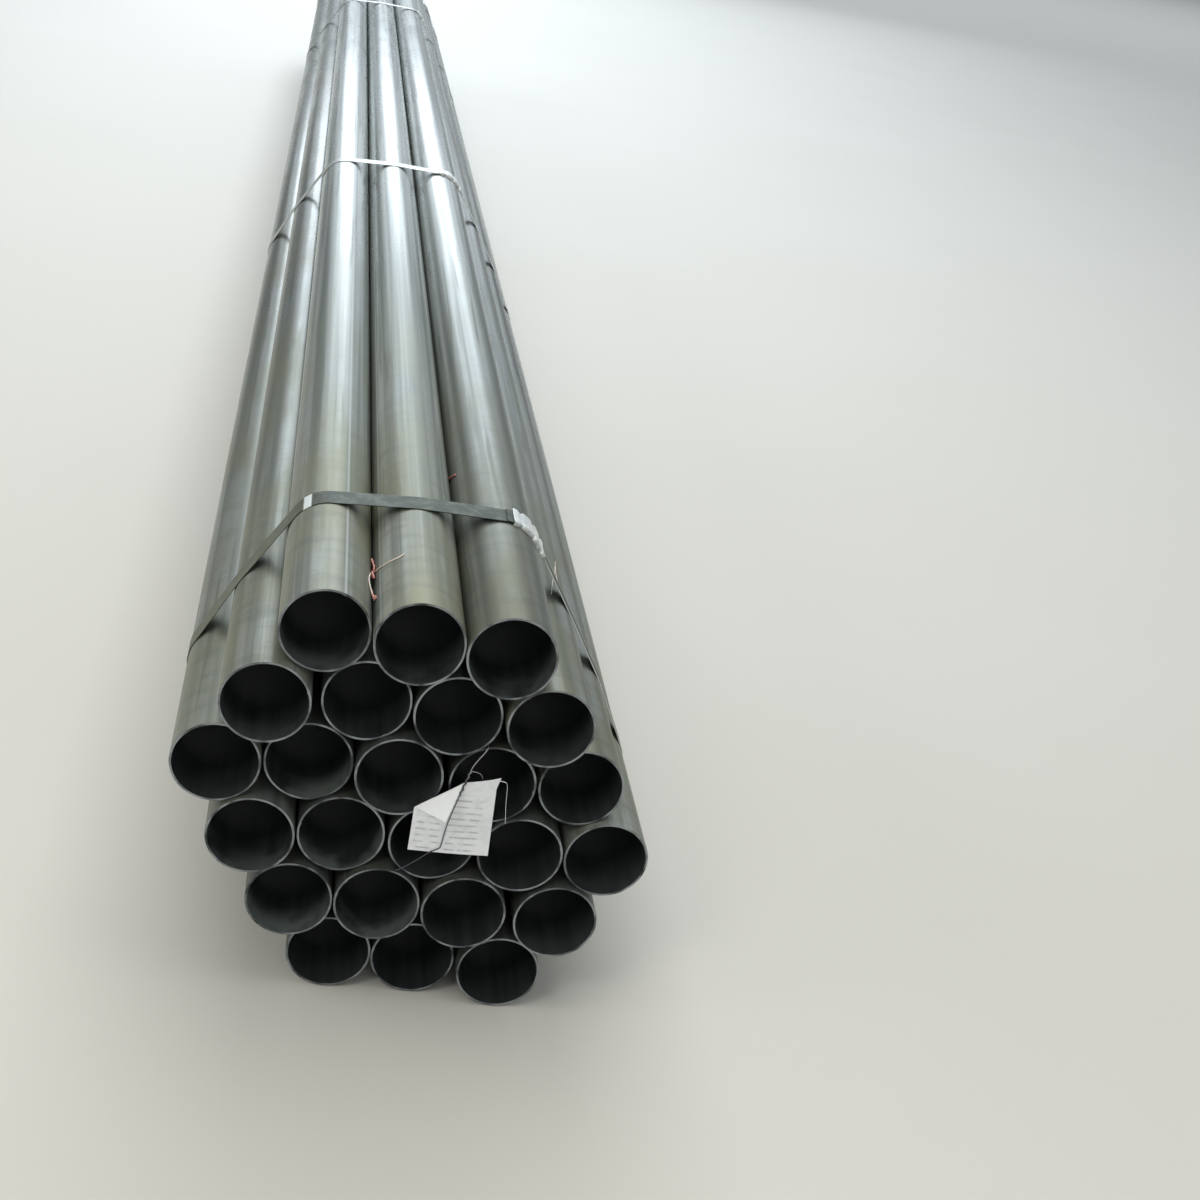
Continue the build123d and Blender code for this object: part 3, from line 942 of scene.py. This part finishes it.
def add_curve(name, points, radius, material):
    """A round strand along a smooth line with the given control points."""
    curve = bpy.data.curves.new(name, "CURVE")
    curve.dimensions = "3D"
    curve.resolution_u = 8
    curve.bevel_depth = radius
    curve.bevel_resolution = 3
    curve.use_fill_caps = True
    spline = curve.splines.new("NURBS")
    spline.points.add(len(points) - 1)
    for point, at in zip(spline.points, points):
        point.co = (*at, 1.0)
    spline.use_endpoint_u = True
    spline.order_u = 3
    strand = bpy.data.objects.new(name, curve)
    bpy.context.collection.objects.link(strand)
    curve.materials.append(material)
    return strand


def smooth_line(points, steps):
    """Points read from the smooth line that a few control points steer."""
    strand = add_curve("line_to_read", points, 0.0, None)
    strand.data.resolution_u = steps
    mesh = bpy.data.meshes.new_from_object(strand)
    line = [vertex.co.copy() for vertex in mesh.vertices]
    bpy.data.meshes.remove(mesh)
    bpy.data.objects.remove(strand)
    return line


WIRE_TOP = ("pipe_3d", 104.0)
WIRE_FOOT = ("pipe_5b", 73.0)
WIRE_GRIP = 40 * MM
WIRE_CROSSINGS = (
    (51.5, 106, 1), (49.5, 97, 1), (46.5, 88, 3.5), (44, 79, 5.0), (41, 66, 5.2), (37.5, 50, 4.6),
    (34.8, 34, 3.4), (33.4, 20, 2.2), (32.7, 10, 1.7), (32, 5.5, 1.6), (23, 1, 1.4), (12, -10, 1.2),
)
WIRE_HOOK = ((63, 90, -0.5), (62, 95, 0.5), (57, 98.5, 1.5), (51.5, 99.5, 2.5))
TWIST_HEIGHTS = (99, 72)
TWIST_TURNS = 4
# The second strand's distance from the first and its radius, in radii of the first
TWIST_REACH = 1.9
TWIST_RADIUS = 0.85


def add_tie_wire(sizes, colours):
    radius = sizes.wire_diameter / 2
    hold = PIPE_RADIUS + radius + SEAT_GAP
    ends = []
    for node, angle in (WIRE_TOP, WIRE_FOOT):
        x, z = polar((PIPES[node].x, PIPES[node].z), hold, angle)
        ends.append(Vector((x, label_point(0, 0, 0).y - radius, z)))
    grip = Vector((0, WIRE_GRIP, 0))
    crossings = [label_point(right * MM, up * MM, out * MM + radius) for right, up, out in WIRE_CROSSINGS]
    top, foot = ends
    route = [top + grip, top + grip / 4, top, *crossings, foot, foot + grip / 4, foot + grip]
    material = new_material(annealed_wire_steel, colours)
    wire = add_curve("tie_wire", route, radius, material)

    high, low = [label_point(0, height * MM, 0).z for height in TWIST_HEIGHTS]
    stretch = [here for here in smooth_line(route, 16) if low < here.z < high]
    hook = [label_point(right * MM, up * MM, out * MM + radius) for right, up, out in WIRE_HOOK]
    turns = []
    for index, here in enumerate(stretch):
        angle = 2 * pi * TWIST_TURNS * index / len(stretch)
        turns.append(here + Vector((cos(angle), -abs(sin(angle)), 0)) * radius * TWIST_REACH)
    second = add_curve("tie_wire_twist", hook + turns, radius * TWIST_RADIUS, material)
    finish_piece(wire, "tie_wire", "tie_wire")
    finish_piece(second, "tie_wire")


# Scraps of twine: radius, whether frayed, and points, each by its pipe, its angle round the pipe and its
# distance behind the pipe's near end, in millimetres and degrees

TWINE = {
    "twine_thread": (0.75, True, (
        ("1b", 114, 112), ("1b", 117, 110), ("1b", 123, 108), ("1b", 135, 110), ("1b", 145, 113),
        ("1b", 158, 121), ("1b", 168, 129))),
    "twine_curl": (1.1, False, (
        ("1a", 21, 139), ("1b", 168, 148), ("1b", 165, 138), ("1b", 172, 128), ("1a", 14, 118),
        ("1a", 22, 108), ("1b", 163, 104), ("1a", 20, 100))),
    "twine_tail": (0.7, True, (
        ("1a", 24, 100), ("1a", 29, 88), ("1a", 31, 74), ("1a", 27, 66), ("1b", 168, 62),
        ("1b", 163, 68), ("1b", 168, 74))),
    "twine_knot": (0.9, False, (("1a", 24, 64), ("1b", 166, 60), ("1b", 160, 66), ("1a", 18, 56))),
    "twine_end": (1.2, False, (("1c", 171, 424), ("1c", 166, 415), ("1c", 157, 408), ("1c", 150, 402))),
    "thread_upper": (0.4, True, (("2d", 44, 336), ("2d", 52, 300), ("2d", 62, 268), ("2d", 71, 222))),
    "thread_lower": (0.4, True, (("2d", 47, 318), ("2d", 53, 290), ("2d", 50, 262), ("2d", 56, 232))),
}
TWINE_LIFT = 0.4 * MM


def on_pipe(spot, angle, back, lift):
    """A point just off a pipe's surface."""
    pipe = PIPES[f"pipe_{spot}"]
    x, z = polar((pipe.x, pipe.z), pipe.radius + lift, angle)
    return Vector((x, pipe.near + back, z))


def add_twine(colours):
    plain, pale = [new_material(finish, colours) for finish in (twine_plastic, twine_plastic_frayed)]
    for name, (radius, frayed, route) in TWINE.items():
        lift = radius * MM + TWINE_LIFT
        points = [on_pipe(spot, angle, back * MM, lift) for spot, angle, back in route]
        strand = add_curve(name, points, radius * MM, pale if frayed else plain)
        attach(strand, "root")


# Studio, in metres. Softboxes by name, place, aim, size, brightness and colour

FLOOR_SIZE = 80
SKY_STRENGTH = 0.32
DAYLIGHT = "#e3edf6"
LAMPLIGHT = "#f3f2ea"
SOFTBOXES = (
    ("far_wall", (-0.2, 9.8, 3.55), (0, 0, 0.4), (3.0, 2.6), 3.0, DAYLIGHT),
    ("far_haze", (0.6, 10.2, 2.8), (0, 0, 0.4), (8.0, 2.4), 1.1, DAYLIGHT),
    ("overhead_far", (0.0, 4.6, 3.8), (0, 4.6, 0), (3.4, 9.0), 2.8, DAYLIGHT),
    ("overhead_near", (0.0, -2.2, 3.8), (0, -2.2, 0), (3.2, 4.6), 1.75, LAMPLIGHT),
    ("backdrop", (5.0, 18.0, 8.0), (5.0, 18.0, 0), (26.0, 18.0), 0.9, DAYLIGHT),
    ("left_wall", (-9.0, -2.0, 3.8), (0, -1, 0.3), (9.0, 5.4), 1.8, LAMPLIGHT),
    ("right_wall", (9.0, -2.0, 3.8), (0, -1, 0.3), (9.0, 5.4), 0.7, LAMPLIGHT),
    ("front", (1.5, -8.5, 3.2), (0, -2.5, 0.2), (4.0, 2.4), 1.95, LAMPLIGHT),
    ("key", (-3.0, -6.4, 4.6), (0, -3, 0.25), (1.6, 1.6), 9.0, LAMPLIGHT),
)


def add_stage(colours):
    deselect_all()
    bpy.ops.mesh.primitive_plane_add(size=FLOOR_SIZE, location=(0, 0, 0))
    floor = start_piece("studio_floor")
    floor.data.materials.append(new_material(studio_floor, colours))

    world = bpy.context.scene.world or bpy.data.worlds.new("studio")
    bpy.context.scene.world = world
    world.use_nodes = True
    sky = world.node_tree.nodes["Background"]
    sky.inputs["Color"].default_value = to_linear(DAYLIGHT)
    sky.inputs["Strength"].default_value = SKY_STRENGTH
    for softbox in SOFTBOXES:
        add_softbox(*softbox)


def add_softbox(name, place, aim, size, brightness, colour):
    """An area light whose face is as bright as a lit white wall where its brightness is 1."""
    light = bpy.data.lights.new(name, "AREA")
    light.shape = "RECTANGLE"
    light.size, light.size_y = size
    light.energy = brightness * pi * size[0] * size[1]
    light.color = to_linear(colour)[:3]
    lamp = bpy.data.objects.new(name, light)
    lamp.location = place
    lamp.rotation_euler = (Vector(aim) - Vector(place)).to_track_quat("-Z", "Y").to_euler()
    lamp.visible_camera = False
    bpy.context.collection.objects.link(lamp)


def add_camera():
    data = bpy.data.cameras.new("photo_view")
    data.lens = CAMERA_LENS
    data.sensor_width = SENSOR_WIDTH
    data.clip_end = 200
    camera = bpy.data.objects.new("photo_view", data)
    level = (Vector(CAMERA_AIM) - Vector(CAMERA_PLACE)).to_track_quat("-Z", "Y").to_matrix().to_4x4()
    tilt = Matrix.Rotation(radians(-CAMERA_TILT), 4, "Z")
    camera.matrix_world = Matrix.Translation(CAMERA_PLACE) @ level @ tilt
    bpy.context.collection.objects.link(camera)
    bpy.context.scene.camera = camera
    bpy.context.scene.view_settings.view_transform = "Standard"


# Operators and panel

class BundleOperator:
    """What the bundle's operators share"""

    bl_options = {"REGISTER", "UNDO"}

    @property
    def settings(self):
        return bpy.context.scene.bundle_sizes, bpy.context.scene.bundle_colours


class BUNDLE_OT_pipes(BundleOperator, bpy.types.Operator):
    """Add the welded pipes"""

    bl_idname = "bundle.pipes"
    bl_label = "Pipes"

    def execute(self, context):
        add_pipes(*self.settings)
        return {"FINISHED"}


class BUNDLE_OT_straps(BundleOperator, bpy.types.Operator):
    """Add the steel straps"""

    bl_idname = "bundle.straps"
    bl_label = "Straps"

    def execute(self, context):
        add_straps(*self.settings)
        return {"FINISHED"}


class BUNDLE_OT_seals(BundleOperator, bpy.types.Operator):
    """Add the crimped strap seals"""

    bl_idname = "bundle.seals"
    bl_label = "Seals"

    def execute(self, context):
        add_seals(*self.settings)
        return {"FINISHED"}


class BUNDLE_OT_label(BundleOperator, bpy.types.Operator):
    """Add the paper label"""

    bl_idname = "bundle.label"
    bl_label = "Label"

    def execute(self, context):
        add_label(*self.settings)
        return {"FINISHED"}


class BUNDLE_OT_tie_wire(BundleOperator, bpy.types.Operator):
    """Add the tie wire that holds the label"""

    bl_idname = "bundle.tie_wire"
    bl_label = "Tie Wire"

    def execute(self, context):
        add_tie_wire(*self.settings)
        return {"FINISHED"}


class BUNDLE_OT_twine(BundleOperator, bpy.types.Operator):
    """Add the scraps of twine caught on the pipes"""

    bl_idname = "bundle.twine"
    bl_label = "Twine"

    def execute(self, context):
        add_twine(self.settings[1])
        return {"FINISHED"}


class BUNDLE_OT_stage(BundleOperator, bpy.types.Operator):
    """Add the floor, the lights and the camera"""

    bl_idname = "bundle.stage"
    bl_label = "Studio"

    def execute(self, context):
        add_stage(self.settings[1])
        add_camera()
        return {"FINISHED"}


class BUNDLE_PT_panel(bpy.types.Panel):
    """Lists the bundle's pieces, sizes and colours"""

    bl_idname = "BUNDLE_PT_panel"
    bl_label = "Pipe Bundle"
    bl_space_type = "VIEW_3D"
    bl_region_type = "UI"
    bl_category = "Pipe Bundle"

    def draw(self, context):
        for operator in OPERATORS:
            self.layout.operator(operator.bl_idname)
        for group in (context.scene.bundle_sizes, context.scene.bundle_colours):
            column = self.layout.column()
            for name in group.bl_rna.properties.keys():
                if name not in ("rna_type", "name"):
                    column.prop(group, name)


OPERATORS = (
    BUNDLE_OT_stage, BUNDLE_OT_pipes, BUNDLE_OT_straps, BUNDLE_OT_seals, BUNDLE_OT_label,
    BUNDLE_OT_tie_wire, BUNDLE_OT_twine,
)
CLASSES = (BundleSizes, BundleColours, *OPERATORS, BUNDLE_PT_panel)


def register():
    for cls in CLASSES:
        bpy.utils.register_class(cls)
    bpy.types.Scene.bundle_sizes = bpy.props.PointerProperty(type=BundleSizes)
    bpy.types.Scene.bundle_colours = bpy.props.PointerProperty(type=BundleColours)


def unregister():
    del bpy.types.Scene.bundle_sizes
    del bpy.types.Scene.bundle_colours
    for cls in reversed(CLASSES):
        bpy.utils.unregister_class(cls)


def main():
    register()
    bpy.ops.bundle.stage()
    bpy.ops.bundle.pipes()
    bpy.ops.bundle.straps()
    bpy.ops.bundle.seals()
    bpy.ops.bundle.label()
    bpy.ops.bundle.tie_wire()
    bpy.ops.bundle.twine()


if __name__ == "__main__":
    main()
